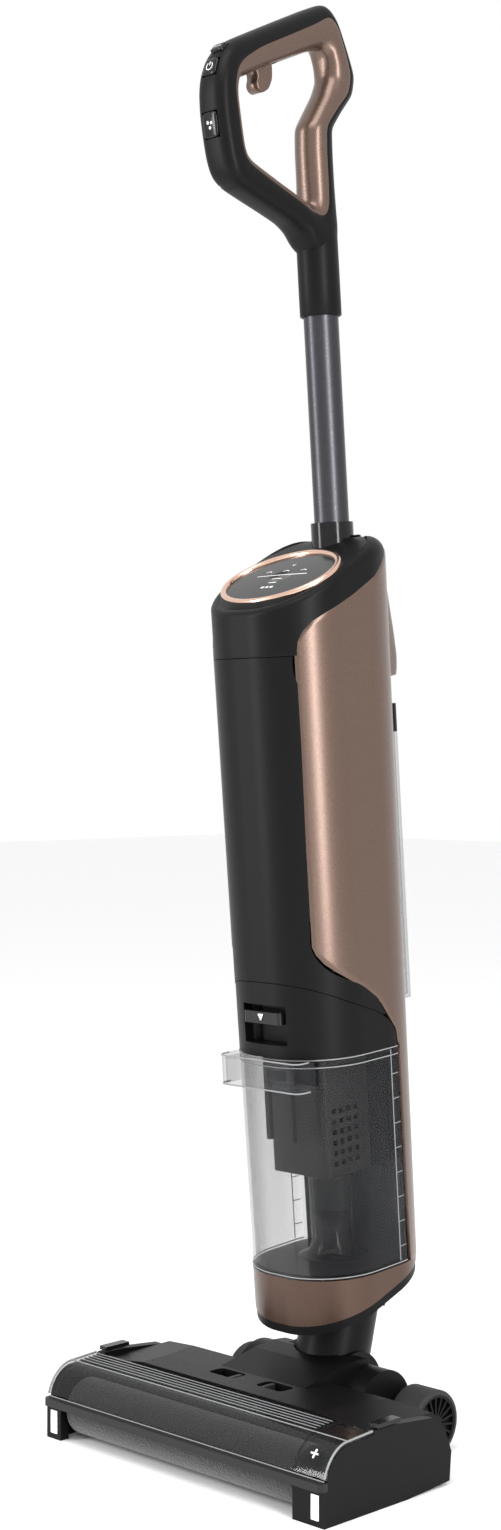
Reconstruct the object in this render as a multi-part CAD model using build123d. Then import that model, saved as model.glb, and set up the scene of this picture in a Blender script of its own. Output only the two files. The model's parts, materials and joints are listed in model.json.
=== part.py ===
from build123d import *
import os
from math import atan2, cos, pi, radians, sin

# Upright wet and dry floor scrubber, in millimetres. +Z is up, the roller is at the front
# (-Y), and X = 0 is the middle plane. The origin is on the floor, under the middle of the
# object's box. The floor head is built in this frame. The body, pole and handle are built
# upright in a frame of their own, then leaned forward about the neck's pivot.

# Driving dimensions
head_width = 292.0
front = -113.2  # Y of the front faces of the feet
lean = 4.5  # degrees the parked body leans forward
neck_back = 14.6  # degrees the neck leans back
pivot_y = front + 160.0
pivot_z = 40.0
axis_offset = 14.5  # body axis behind the pivot
body_half_width = 58.0
body_depth = 66.0  # body axis to the front face
wall = 2.5
gap = 0.3  # room between faces that move past each other
roller_radius = 21.5
roller_y = front + 25.0
roller_z = 23.0
wheel_radius = 25.0
wheel_y = front + 172.0
pole_y = 42.0  # pole axis behind the body axis
pole_radius = 13.5
bay_top = 262.0  # height of the dirty tank's rim
bay_bottom = 94.0
bay_back = 24.3  # the dirty tank's flat back wall
seam_height = 562.0  # between front panel and top housing
handle_half = 15.0  # half the handle's thickness
end_cap_x = 115.5  # seam between the roller cover and its end cap
window_x = 25.0  # the two finger windows in the head's deck
window_y = front + 76.0
key_travel = 1.0
neck_top = 80.0  # length of the neck from its pivot
pulley_big = 13.0
pulley_small = 8.0

half = head_width / 2
panel_inner = half - 8.0
body_frame = Location((0, pivot_y, pivot_z), (lean, 0, 0)) * Location((0, axis_offset, 0))
neck_frame = Location((0, pivot_y, pivot_z), (-neck_back, 0, 0))
parts = {}


# ---- helpers ----

def box(x0, x1, y0, y1, z0, z1):
    """A block between two corners."""
    place = Pos((x0 + x1) / 2, (y0 + y1) / 2, (z0 + z1) / 2)
    return place * Box(x1 - x0, y1 - y0, z1 - z0)


def along_x(radius, x0, x1, y, z):
    """A round bar along X."""
    return Location(((x0 + x1) / 2, y, z), (0, 90, 0)) * Cylinder(radius, x1 - x0)


def upright(radius, x, y, z0, z1):
    """A round bar along Z."""
    return Pos(x, y, (z0 + z1) / 2) * Cylinder(radius, z1 - z0)


def side_plate(outline, x0, x1):
    """A plate between two X values, from a face drawn in the YZ plane."""
    return extrude(Plane.YZ.offset(x0) * outline, x1 - x0)


def outline_of(points):
    """A closed straight-sided face."""
    return make_face(Polyline(*points, close=True))


def rounded(points, radius):
    """A closed face with the same round at every corner."""
    face = outline_of(points)
    return fillet(face.vertices(), radius)


def mirrored(shape):
    """The same piece on the other side of X = 0."""
    return mirror(shape, Plane.YZ)


def section(z, half_width, to_front, to_back, corner=50.0):
    """A soft-cornered oblong at height z, with different depths in front and behind."""
    middle = (to_back - to_front) / 2
    return Pos(0, middle, z) * RectangleRounded(2 * half_width, to_front + to_back, corner)


def body_form(inset):
    """The body's solid, slightly wider towards the top, with every side moved in by inset."""
    low = section(40.0, 55.8 - inset, 62.1 - inset, 63.3 - inset, 50.0 - inset)
    high = section(665.0, body_half_width + 0.4 - inset, body_depth + 0.3 - inset,
                   67.0 - inset, 50.0 - inset)
    return loft([low, high], ruled=True)


def between(z0, z1):
    """A block wider than the body, to cut it at two heights."""
    return box(-90, 90, -110, 110, z0, z1)


# ---- floor head ----

def cover_line(growth):
    """The roller cover's curve in the YZ plane: a quarter oval, then a flat back strip."""
    a, b = 25.5 + growth, 31.5 + growth
    start = atan2(31.4 - roller_z, 24.0)
    points = [(roller_y - a * cos(t), roller_z + b * sin(t))
              for t in [start + (pi / 2 - start) * i / 8 for i in range(9)]]
    return points, (front + 50.0, roller_z + b + 1.5)


def cover_strip(x0, x1):
    """A length of the clear cover, 2.2 mm thick."""
    outer, outer_end = cover_line(0)
    inner, inner_end = cover_line(-2.2)
    edges = [Spline(*outer), Line(outer[-1], outer_end), Line(outer_end, inner_end),
             Line(inner_end, inner[-1]), Spline(*reversed(inner)), Line(inner[0], outer[0])]
    return side_plate(make_face(Wire(edges)), x0, x1)


def make_cover():
    """Clear cover with five ribs on its back strip, and the end cap beside it."""
    cover = cover_strip(-half + 0.5, end_cap_x)
    for i in range(5):
        y = front + 29.0 + 4.2 * i
        z = roller_z + 31.5 + 1.5 * (4.0 + 4.2 * i) / 25.0
        cover += box(-half + 6, end_cap_x - 3, y - 0.7, y + 0.7, z - 0.8, z + 0.9)
    cap = cover_strip(end_cap_x + 0.2, half - 0.5)
    return cover, cap


def head_side(inset):
    """The floor head's side outline."""
    outer, end = cover_line(-2.2 - inset)
    points = [(front, 0), (front, 25.0), (front + 3.4, 25.0), (front + 3.4, 31.0)]
    points += [(y, z) for y, z in outer if y > front + 3.9]
    points += [end, (front + 52, 56.5 - inset), (front + 77, 56.0 - inset)]
    points += [(front + 113, 52.5 - inset), (front + 126, 43.0), (front + 134, 24.0)]
    points += [(front + 132, 3.0), (front + 85, 0)]
    return outline_of(points)


def make_side_panel(side):
    """Outer side of the head. The right one has the wider foot that holds the roller's end."""
    panel = side_plate(head_side(0.3), panel_inner, half)
    inner = 116.0 if side > 0 else 130.0
    foot = box(inner, panel_inner, front, front + 8, 0, 25)
    if side > 0:
        foot += box(inner + 12, panel_inner, front + 8, front + 46, 12, 36)
        foot -= along_x(8.06, inner + 11, inner + 18, roller_y, roller_z)
    panel = panel + foot
    panel -= box(134, 141, front - 1, front + 2.2, 4.5, 22)
    panel -= along_x(4.06, 127.0, half - 3, roller_y, roller_z)
    return panel if side > 0 else mirrored(panel)


def make_head_base():
    """Bottom tray with the roller's back wall, the neck's cheeks and the wheels' arms."""
    base = box(-panel_inner, panel_inner, front + 47, front + 128, 3, 7)
    base += box(-126, panel_inner, front + 47, front + 50, 7, 50)
    base -= box(-18, 18, front + 46, front + 51, 12, 34)
    base -= box(-31.5, 31.5, front + 125, front + 140, 0, 20)
    for side in (-1, 1):
        tongue = box(31.5, 72.4, front + 127, wheel_y + 8, 3, 7)
        cheek = along_x(15, 31.5, 39.5, pivot_y, pivot_z)
        cheek += box(31.5, 39.5, pivot_y - 16, pivot_y + 16, 3, pivot_z - 8)
        cheek -= along_x(9.06, 31, 40, pivot_y, pivot_z)
        arm = box(66.4, 72.4, wheel_y - 8, wheel_y + 8, 3, wheel_radius + 8)
        arm -= along_x(4.0, 66, 73, wheel_y, wheel_radius)
        piece = tongue + cheek + arm
        base += piece if side > 0 else mirrored(piece)
    return base


def neck_sweep():
    """The room that the neck needs, from parked to fully reclined."""
    path = Pos(0, 0, 40) * Cylinder(30.8, 120)
    return neck_frame * (path + box(-30.8, 30.8, 0, 120, -70, 100))


def make_top_cover():
    """Top shell of the head: a sloping deck, a rise in front of the neck and two fenders."""
    def skin(inset):
        deck = side_plate(outline_of([
            (front + 50.6 + inset, 7.2), (front + 50.6 + inset, 58.0 - inset),
            (front + 77, 57.8 - inset), (front + 114, 56.8 - inset),
            (front + 132 - inset, 46.0 - inset), (front + 132 - inset, 7.2),
        ]), -panel_inner + 0.2 + inset, panel_inner - 0.2 - inset)
        crown = [(-140, 0), (-140, 52.3 - inset), (-91, 58.2 - inset),
                 (91, 58.2 - inset), (140, 52.3 - inset), (140, 0)]
        deck = deck & (Pos(0, front + 200, 0) * extrude(Plane.XZ * outline_of(crown), 200))
        fender = along_x(29 - inset, -66 + inset, 66 - inset, front + 152, 33.5)
        rise = side_plate(outline_of([
            (front + 80, 56.0 - inset), (front + 124, 65.0 - inset),
            (front + 145, 67.0 - inset), (front + 158, 66.0 - inset),
            (front + 158, 50), (front + 80, 50),
        ]), -44 + inset, 44 - inset)
        return deck + fender + rise
    shell = skin(0) - skin(2.4)
    shell -= box(-200, 200, front, front + 200, -5, 7.2)
    shell -= box(-200, 200, front + 132.2, front + 200, 0, 24)
    shell -= neck_sweep()
    shell -= along_x(29.0, -31.0, 31.0, pivot_y, pivot_z)
    shell -= box(-31.2, 31.2, pivot_y - 45, pivot_y + 60, 0, 34)
    for x in (-window_x, window_x):
        shell -= Pos(x, window_y, 50) * extrude(RectangleRounded(27, 16, 4), 12)
    shell -= box(-135.2, -126, front + 50, front + 54, 7, 48)
    shell -= box(-18.4, 18.4, front + 50, front + 54, 11.6, 34.4)
    for x in (-window_x, window_x):
        tub = box(x - 15.5, x + 15.5, window_y - 10, window_y + 10, 47.0, 49.0)
        for side in (-1, 1):
            tub += box(x + side * 14.5 - 1, x + side * 14.5 + 1, window_y - 10, window_y + 10,
                       49.0, 55.5)
            tub += box(x - 15.5, x + 15.5, window_y + side * 9 - 1, window_y + side * 9 + 1,
                       49.0, 55.5)
        shell += tub
    return shell


def make_head():
    """Everything on the floor head that doesn't move."""
    parts["side_panel_right"] = make_side_panel(1)
    parts["side_panel_left"] = make_side_panel(-1)
    parts["head_base"] = make_head_base()
    parts["head_top_cover"] = make_top_cover()
    bar = box(-half - 0.5, half + 0.5, front - 4, front + 3.2, 25.2, 31.0)
    ends = bar.edges().filter_by(Axis.Z).group_by(Axis.Y)[0]
    parts["front_bumper"] = chamfer(ends, 3.0)
    lens = box(134.1, 140.9, front - 0.6, front + 2.1, 4.6, 21.9)
    parts["led_lenses"] = Compound([lens, mirrored(lens)])
    parts["wiper_strip"] = box(-124, 124, front + 44.8, front + 46.9, 1.0, 9.0)
    duct = box(-18, 18, front + 50.2, front + 124, 12, 34)
    parts["suction_duct"] = duct - box(-16, 16, front + 50, front + 125, 14, 32)
    motor = along_x(16, -118, -50, front + 88, 27.0) + along_x(2.5, -134, -117, front + 88, 27.0)
    parts["roller_motor"] = motor
    parts["drive_belt"] = make_belt()
    screws = [upright(2.6, x, front + y, 2.2, 2.9) + upright(1.3, x, front + y, 2.8, 2.99)
              for x in (-120, 120) for y in (60, 120)]
    parts["head_screws"] = Compound(screws)
    pin = along_x(4.0, 66.6, 98.6, wheel_y, wheel_radius)
    parts["wheel_axles"] = Compound([pin, mirrored(pin)])
    catch = box(half - 7.6, half + 0.4, front + 54, front + 78, 57.0, 60.0)
    parts["cover_catches"] = Compound([catch, mirrored(catch)])


def make_belt():
    """Belt round the motor's pulley and the roller's pulley, drawn as one loop."""
    def loop(growth):
        big = Pos(roller_y, roller_z) * Circle(pulley_big + growth)
        small = Pos(front + 88, 27.0) * Circle(pulley_small + growth)
        return make_hull(big.edges() + small.edges())
    return side_plate(loop(1.7) - loop(gap), -134.2, -129.4)


def make_roller():
    """The brush roll with its core, nap, pulley and end bearing."""
    core = along_x(17.0, -128, 113, roller_y, roller_z)
    core += along_x(4.0, -141, 140, roller_y, roller_z)
    core -= along_x(14.0, -124, 109, roller_y, roller_z) - along_x(4.0, -141, 140,
                                                                   roller_y, roller_z)
    parts["roller_core"] = core
    nap = along_x(roller_radius, -127, 112, roller_y, roller_z)
    parts["roller_nap"] = nap - along_x(17.0, -130, 130, roller_y, roller_z)
    pulley = along_x(pulley_big, -134.8, -128.8, roller_y, roller_z)
    parts["roller_pulley"] = pulley - along_x(4.0, -137, -128, roller_y, roller_z)
    bearing = along_x(8.0, 128, 133.8, roller_y, roller_z)
    parts["roller_bearing"] = bearing - along_x(4.0, 127, 135, roller_y, roller_z)
    pulley = along_x(pulley_small, -134.8, -128.8, front + 88, 27.0)
    parts["motor_pulley"] = pulley - along_x(2.55, -137, -128, front + 88, 27.0)


def make_wheels():
    """Two rear wheels: a ribbed hub with a rubber tyre on each."""
    hub = along_x(21.5, 73, 99.4, wheel_y, wheel_radius)
    hub -= along_x(19.5, 96.4, 101, wheel_y, wheel_radius)
    for i in range(18):
        spoke = Location((97.7, wheel_y, wheel_radius), (20 * i, 0, 0)) * Pos(0, 0, 13)
        hub += spoke * Box(3, 1.4, 14)
    hub += along_x(6.5, 96, 99.8, wheel_y, wheel_radius)
    hub -= along_x(4.05, 72, 98.8, wheel_y, wheel_radius)
    tyre = along_x(wheel_radius, 73, 99.8, wheel_y, wheel_radius)
    tyre = fillet(tyre.edges().filter_by(GeomType.CIRCLE), 2.0)
    tyre -= along_x(21.5, 72, 101, wheel_y, wheel_radius)
    parts["wheel_hub_right"] = hub
    parts["wheel_hub_left"] = mirrored(hub)
    parts["tyre_right"] = tyre
    parts["tyre_left"] = mirrored(tyre)


def make_neck():
    """Drum on two trunnions with the round neck above it, and the duct through it."""
    neck = along_x(28, -30.5, 30.5, pivot_y, pivot_z) + along_x(9, -39, 39, pivot_y, pivot_z)
    neck += neck_frame * (Pos(0, 0, neck_top / 2) * Cylinder(29, neck_top))
    neck -= neck_frame * (Pos(0, 0, neck_top / 2 + 2) * Cylinder(14, neck_top))
    neck -= box(-14, 14, pivot_y - 40, pivot_y, 14, 32)
    return neck


# ---- main body, in its own upright frame ----

def black_side():
    """The side outline of everything black at the body's front: in front of the bronze shells."""
    line = [(-51, 571), (-45, 583), (-34, 592), (-2, 606), (24, 620), (39, 632), (48, 645)]
    low = [(6, 297), (-28, 320), (-42, 329), (-48, 338), (-50.5, 352)]
    upper = Spline(*[(-50.5, 540)] + line)
    lower = Spline(*low)
    edges = [lower, Line(low[-1], (-50.5, 540)), upper, Line(line[-1], (60, 665)),
             Line((60, 665), (-110, 665)), Line((-110, 665), (-110, 80)),
             Line((-110, 80), (bay_back, 80)), Line((bay_back, 80), (bay_back, 270)),
             Line((bay_back, 270), (14, 285)), Line((14, 285), (6, 297))]
    return make_face(Wire(edges))


def tank_side(grow):
    """The side outline of the dirty tank with its lid."""
    seam = Spline((bay_back + grow, 262 + grow), (23 + grow, 271 + grow), (14.5, 283 + grow),
                  (-17, 298.5 + grow), (-49, 313 + grow), (-66, 319.5 + grow),
                  (-80, 322 + grow))
    edges = [seam, Line((-80, 322 + grow), (-110, 322 + grow)),
             Line((-110, 322 + grow), (-110, bay_bottom + 0.3 - grow)),
             Line((-110, bay_bottom + 0.3 - grow), (bay_back + grow, bay_bottom + 0.3 - grow)),
             Line((bay_back + grow, bay_bottom + 0.3 - grow), (bay_back + grow, 262 + grow))]
    return make_face(Wire(edges))


display_slope = 27.2
display_frame = Location((0, -17.8, 620.4), (display_slope, 0, 0))
display_half_width = 53.0
display_half_length = 40.5


def top_side(inset):
    """The side outline of the top: up the sloping display face, over and down the back."""
    deck_front = (-58.0, 598.5 - inset)
    s = radians(display_slope)
    rise = (34.0 + 17.8, 620.4 + 51.8 * sin(s) / cos(s) - inset - 2.0)
    points = [(-110, 585.0 - inset), (-66, 591 - inset), deck_front,
              (rise[0] - 17.8, rise[1]), (58, rise[1] - 2), (74, 640 - inset),
              (95, 622 - inset), (95, 60), (-110, 60)]
    return outline_of(points)


def pole_hole(radius):
    """Room for the pole and its socket."""
    return upright(radius, 0, pole_y, 560, 700)


def clean_tank_block(inset, z0, z1):
    """A length of the clean water tank, with its walls moved in by inset."""
    face = RectangleRounded(66 - 2 * inset, 38 - 2 * inset, 9 - inset)
    return Pos(0, 55, z0) * extrude(face, z1 - z0)


def clean_tank_room(grow):
    """The pocket in the back that the clean water tank slides into."""
    return clean_tank_block(-grow, 290 - grow, 520 + grow)


def make_body_shells():
    """Front panel, top housing and the two bronze side shells."""
    black = side_plate(black_side(), -100, 100)
    tank = side_plate(tank_side(0.5), -100, 100)
    top = side_plate(top_side(0), -100, 100)
    skin = body_form(0) - body_form(wall)
    front_skin = (skin & black) & between(288, seam_height - 0.2)
    parts["front_panel"] = front_skin - tank
    cap = (body_form(0) & top) & between(seam_height, 700)
    cap -= (body_form(wall) & side_plate(top_side(3.0), -100, 100)) & between(500, 700)
    cap = cap & black
    cap -= display_frame * (Pos(0, 0, -15) * extrude(Ellipse(47.5, 35), 40))
    parts["top_housing"] = cap - pole_hole(16.6)
    brow = side_plate(outline_of([(50, 540), (67, 540.5), (80, 557), (68, 634), (50, 634)]),
                      -60, 60)
    brow = brow & (Pos(0, 60, 530) * extrude(RectangleRounded(72, 40, 9), 120))
    bronze = (skin & between(bay_bottom + 0.2, 700)) + (brow - body_form(wall))
    bronze = (bronze & top) - black
    bronze -= clean_tank_room(0.5)
    bronze -= box(-33.5, 33.5, 36, 110, 520, 540.5)
    bronze -= tank
    half_shell = bronze & box(0.15, 100, -110, 110, 80, 700)
    parts["side_shell_right"] = half_shell
    parts["side_shell_left"] = mirrored(half_shell)


def make_display():
    """Sloping oval display: bright ring, dark glass and its board."""
    ring = extrude(Ellipse(display_half_width, display_half_length), 3.2)
    ring -= extrude(Ellipse(display_half_width - 4.2, display_half_length - 4.2), 4)
    ring = display_frame * (Pos(0, 0, 0.2) * ring)
    glass = display_frame * (Pos(0, 0, 0.2) * extrude(
        Ellipse(display_half_width - 4.3, display_half_length - 4.3), 2.4))
    board = display_frame * (Pos(0, 0, -5) * extrude(Ellipse(42, 30), 1.6))
    parts["display_ring"] = ring
    parts["display_glass"] = glass - upright(16.7, 0, pole_y, 560, 700)
    parts["display_board"] = board


def above(offset):
    """Everything above the base's bottom plane, which rises towards the back."""
    slope = 0.3
    line = [(-110, 63 + offset - 65 * slope), (110, 63 + offset + 155 * slope),
            (110, 200), (-110, 200)]
    return side_plate(outline_of(line), -100, 100)


def make_base():
    """Bottom of the body: black trim on the neck, bronze ring and the tank's tray."""
    ring = (body_form(0) - body_form(wall)) & between(45, bay_bottom - 0.2)
    parts["base_ring"] = ring & above(0)
    neck_place = body_frame.inverse() * neck_frame
    plate = (body_form(0.8) & above(-7.0)) - above(-0.2)
    plate = (plate & between(30, bay_bottom - 0.2)) - (body_form(wall + 0.1) & between(90.5, 97))
    boss = neck_place * (Pos(0, 0, 74) * Cylinder(34, 20))
    inside = body_form(wall + 0.3) & between(40, bay_bottom - 3.6)
    trim = plate + (boss & inside)
    trim -= neck_place * (Pos(0, 0, neck_top / 2) * Cylinder(29 + 2 * gap, neck_top + 2 * gap))
    parts["base_trim"] = trim - neck_place * (Pos(0, 0, 60) * Cylinder(14, 80))
    tray = body_form(wall + 0.3) & between(bay_bottom - 3.2, bay_bottom)
    parts["tank_tray"] = tray - upright(12, 0, 0, 80, 100)


def make_core():
    """Frame inside the body, with the battery, suction motor, pump and pole socket."""
    room = body_form(wall + 0.3)
    frame = room & box(-60, 60, bay_back + 0.8, bay_back + 3.3, bay_bottom + 0.2, 286)
    frame += room & box(-60, 60, bay_back - 60, 34.5, 326, 329)
    frame += room & box(-60, 60, 32, 34.5, 286, 600)
    frame += room & box(-60, 60, bay_back + 0.8, 34.5, 283, 286)
    frame += room & box(-60, 60, -50, 34.5, 434, 437)
    frame = frame - side_plate(tank_side(0.8), -100, 100) - pole_hole(17.0)
    parts["inner_frame"] = frame - upright(14, 0, -10, 320, 335)
    parts["battery_pack"] = box(-38, 38, -46, 31, 437.2, 555)
    motor = upright(36, 0, -8, 362, 433.8) - upright(33, 0, -8, 355, 384)
    motor += upright(4, 0, -8, 366, 390)
    parts["suction_motor"] = motor
    fan = upright(30, 0, -8, 368, 371)
    for i in range(9):
        blade = Location((0, -8, 375.5), (0, 0, 40 * i)) * Pos(18, 0, 0) * Box(22, 1.4, 10)
        fan += blade
    parts["impeller"] = fan - upright(4.06, 0, -8, 360, 385)
    parts["water_pump"] = upright(11, 22, 45, 120, 170) + upright(4, 22, 45, 165, 190)
    socket = upright(16.5, 0, pole_y, 602, 662)
    socket -= upright(pole_radius, 0, pole_y, 606, 700)
    parts["pole_socket"] = socket


def make_dirty_tank():
    """Clear bucket with its lip handle and ribbed flange, the lid, filter and inlet tube."""
    room = side_plate(tank_side(0), -100, 100)
    solid = body_form(0.4) & room
    bucket = solid & between(bay_bottom, bay_top)
    inner = body_form(2.8) & box(-90, 90, -110, bay_back - 2.4, bay_bottom + 3.3, bay_top + 5)
    bucket = bucket - inner
    lip = Pos(0, -60, 239) * extrude(RectangleRounded(84, 24, 7), 23)
    lip -= Pos(0, -58, 238) * extrude(RectangleRounded(79, 23, 5), 21.5)
    lip = lip - body_form(0.4)
    bucket = bucket + lip
    bucket -= upright(12, 0, 0, 90, 100)
    lid = solid & between(bay_top + 0.2, 330)
    lid_room = body_form(3.4) & side_plate(tank_side(-3.0), -100, 100)
    lid_room = lid_room & box(-90, 90, -110, bay_back - 3, bay_top + 3.2, 330)
    lid = lid - lid_room
    recess = Pos(0, -62, 272) * extrude(RectangleRounded(44, 26, 5), 30)
    pocket = Pos(0, -62, 269) * extrude(RectangleRounded(49, 31, 6), 36) & body_form(0.4)
    lid = lid + (pocket & side_plate(tank_side(-1), -100, 100))
    lid = lid - recess
    parts["tank_lid"] = lid - upright(20, 0, 0, 255, 283)
    parts["dirty_tank"] = bucket
    latch = Pos(0, -58, 288) * extrude(RectangleRounded(38, 14, 3), 9)
    parts["tank_latch"] = latch
    cage = Pos(0, -7, 166) * extrude(RectangleRounded(60, 52, 6), 95.8)
    cage -= Pos(0, -7, 168) * extrude(RectangleRounded(56, 48, 4), 96)
    for side in (-1, 1):
        for row in range(6):
            for column in range(4):
                cage -= Pos(side * 30, -23 + 8 * column, 176 + 8 * row) * Box(8, 4.4, 4.4)
    cage -= upright(17.3, 0, 0, 160, 175)
    cage -= box(-26, 26, -36, -28, 236, 262)
    parts["filter_cage"] = cage
    tube = upright(16.5, 0, 0, 97.6, 240)
    tube += loft([Pos(0, 0, 97.6) * Circle(21), Pos(0, 0, 108) * Circle(16.5)])
    tube -= upright(14.5, 0, 0, 90, 245)
    parts["inlet_tube"] = tube
    probe = box(-14, -10, -52, -48, 196, 261.9) + box(10, 14, -52, -48, 196, 261.9)
    probe += box(-14, 14, -52, -48, 250, 261.9)
    parts["level_probe"] = probe
    parts["dry_filter"] = upright(19.8, 0, 0, 262.4, 282)


def make_clean_tank():
    """Clear water tank in the back of the body, with its black cap."""
    parts["clean_tank"] = clean_tank_block(0, 290, 498) - clean_tank_block(2.2, 292.4, 500)
    cap = clean_tank_block(0, 498.2, 520) - clean_tank_block(4.5, 497, 516)
    parts["clean_tank_cap"] = cap


# ---- pole and handle ----

grip_outer = [
    (-46, 1016), (-58, 1004), (-65.5, 986), (-66.5, 970), (-64, 938), (-60, 920), (-49, 908.5),
    (10, 886), (22, 877), (26.5, 868), (57.8, 868), (57.8, 965), (84, 992), (87.3, 1006),
    (66, 1052), (57, 1059),
]
grip_middle = [
    (-45.6, 999), (-51.5, 983), (-42.5, 926.5), (31.5, 891.7), (42, 899), (44, 961),
    (74, 988), (75.5, 1004), (60, 1048),
]
grip_opening = [
    (-45, 978), (-41, 989), (20, 1012), (52, 1024), (58, 1015), (56.5, 998), (33, 967),
    (29.5, 955), (29.5, 904), (22, 905.5), (-37, 931), (-41, 937),
]


def key_place(y, z, tilt):
    """The place of a key's outer face on the front of the handle."""
    return Location((0, y, z), (tilt, 0, 0))


keys = {
    "boost_button": (key_place(-53.0, 1010.4, -47.3), 13.0, 9.0),
    "power_button": (key_place(-62.2, 995.0, -22.6), 14.0, 14.0),
    "mode_button": (key_place(-65.3, 953.0, 4.5), 15.0, 19.0),
}


def key_block(width, height, grow, front_y, back_y):
    """A soft-cornered block along Y."""
    face = Plane.XZ * RectangleRounded(width + 2 * grow, height + 2 * grow, 3.5)
    return Pos(0, back_y, 0) * extrude(face, back_y - front_y)


def make_handle():
    """Pole, collar, the handle's black outer half, its bronze inner half, trigger and keys."""
    parts["pole"] = upright(pole_radius, 0, pole_y, 606.2, 867) - upright(11.9, 0, pole_y, 600, 880)
    opening = rounded(grip_opening, 4.0)
    ring = side_plate(rounded(grip_outer, 6.0) - opening, -handle_half, handle_half)
    for side in (-handle_half, handle_half):
        rim = ring.edges().filter_by_position(Axis.X, side - 0.01, side + 0.01)
        ring = fillet(rim, 5.0)
    core = side_plate(rounded(grip_middle, 4.0), -40, 40)
    shell = ring - core
    loop = ring & core
    pocket = box(-6.4, 6.4, -31, 4, 986, 1016)
    trigger_face = rounded([
        (-28, 1009), (-4, 1009), (-2, 1001), (-5, 990), (-11, 984), (-17, 983.5),
        (-15, 990), (-19, 995.5), (-28, 998),
    ], 1.2)
    trigger = side_plate(trigger_face, -6, 6) - along_x(1.56, -7, 7, -24, 1004)
    loop = (loop - pocket) + along_x(1.5, -8, 8, -24, 1004)
    parts["trigger"] = trigger
    shell -= box(-6.4, 6.4, -31, 4, 986, 1016)
    for name, (place, width, height) in keys.items():
        shell -= place * key_block(width, height, 0.25, -3, 2.4 + key_travel)
        parts[name] = place * key_block(width, height, 0, -0.9, 2.2)
    parts["handle_shell"] = shell
    parts["grip_loop"] = loop
    collar = upright(16.0, 0, pole_y, 820, 867.8)
    parts["handle_collar"] = collar - upright(pole_radius, 0, pole_y, 800, 867.2)


def make_release_tabs():
    """Two finger tabs in the deck's windows that let the roller cover go."""
    tab = box(window_x - 9.5, window_x - 2, window_y - 6.5, window_y + 6.5, 49.2, 52.0)
    tab += box(window_x - 9.5, window_x - 6, window_y - 6.5, window_y + 6.5, 51.9, 57.0)
    parts["release_tab_right"] = tab
    parts["release_tab_left"] = mirrored(tab)


def main():
    os.makedirs("parts", exist_ok=True)
    make_head()
    make_roller()
    make_wheels()
    make_release_tabs()
    parts["neck"] = make_neck()
    cover, cap = make_cover()
    parts["roller_cover"] = cover
    parts["cover_end_cap"] = cap
    head_nodes = set(parts)
    make_body_shells()
    make_display()
    make_base()
    make_core()
    make_dirty_tank()
    make_clean_tank()
    make_handle()
    for name, shape in parts.items():
        if name not in head_nodes:
            shape = body_frame * shape
        export_step(shape, f"parts/{name}.step")


main()
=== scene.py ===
import bpy
import bmesh
import json
import numpy as np
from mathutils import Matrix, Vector


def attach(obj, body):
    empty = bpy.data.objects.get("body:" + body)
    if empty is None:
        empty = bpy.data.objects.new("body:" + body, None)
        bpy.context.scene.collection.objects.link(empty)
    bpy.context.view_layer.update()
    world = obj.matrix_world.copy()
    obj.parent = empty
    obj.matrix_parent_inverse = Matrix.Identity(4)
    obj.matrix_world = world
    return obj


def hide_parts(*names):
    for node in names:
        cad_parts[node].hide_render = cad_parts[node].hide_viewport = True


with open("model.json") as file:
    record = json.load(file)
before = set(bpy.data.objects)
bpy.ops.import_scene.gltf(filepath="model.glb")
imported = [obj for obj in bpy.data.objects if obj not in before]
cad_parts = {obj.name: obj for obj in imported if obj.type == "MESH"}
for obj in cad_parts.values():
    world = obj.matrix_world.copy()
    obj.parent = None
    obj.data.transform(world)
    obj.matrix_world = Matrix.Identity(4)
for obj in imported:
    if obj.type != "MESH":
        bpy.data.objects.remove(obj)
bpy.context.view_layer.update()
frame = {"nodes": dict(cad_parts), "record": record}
nodes = frame["nodes"]

# Millimetres everywhere below, turned to metres when a mesh is made. The floor head is
# described in the row frame. The body, pole and handle are described in an upright frame of
# their own, leaned 4.5 degrees forward about the neck's pivot.
FRONT = -113.2
PIVOT_Y = FRONT + 160.0
PIVOT_Z = 40.0
AXIS_OFFSET = 14.5
LEAN = np.radians(4.5)
POLE_Y = 42.0  # the pole's axis, in the leaned frame
TANK_TOP = 262.2  # seam between the clear tank and its lid
TANK_BACK = 24.3  # the clear tank's flat back
WINDOW_LOW, WINDOW_HIGH = 289.5, 540.4  # the rear tank's opening in the shells
DISPLAY_Y, DISPLAY_Z = -17.8, 620.4  # middle of the sloping display
DISPLAY_SLOPE = np.radians(27.2)


# ---- materials ----

def hex_colour(value):
    """An sRGB hex colour as linear RGBA."""
    srgb = np.array([int(value[i:i + 2], 16) for i in (1, 3, 5)]) / 255
    linear = np.where(srgb <= 0.04045, srgb / 12.92, ((srgb + 0.055) / 1.055) ** 2.4)
    return (*linear.tolist(), 1.0)


def add(tree, kind, settings=None, inputs=None, links=()):
    """Adds one node. settings are attributes, inputs are socket values, links are (socket, output)."""
    made = tree.nodes.new(kind)
    for key, value in (settings or {}).items():
        setattr(made, key, value)
    for key, value in (inputs or {}).items():
        made.inputs[key].default_value = value
    for key, output in links:
        tree.links.new(output, made.inputs[key])
    return made


def blank(name):
    """A new material with its shader and an Object-coordinates output."""
    material = bpy.data.materials.new(name)
    material.use_nodes = True
    tree = material.node_tree
    shader = next(n for n in tree.nodes if n.type == "BSDF_PRINCIPLED")
    place = add(tree, "ShaderNodeTexCoord").outputs["Object"]
    return material, tree, shader, place


def set_shader(shader, **values):
    """Puts plain numbers and colours on the shader's own sockets."""
    for key, value in values.items():
        shader.inputs[key.replace("_", " ")].default_value = value


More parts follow.
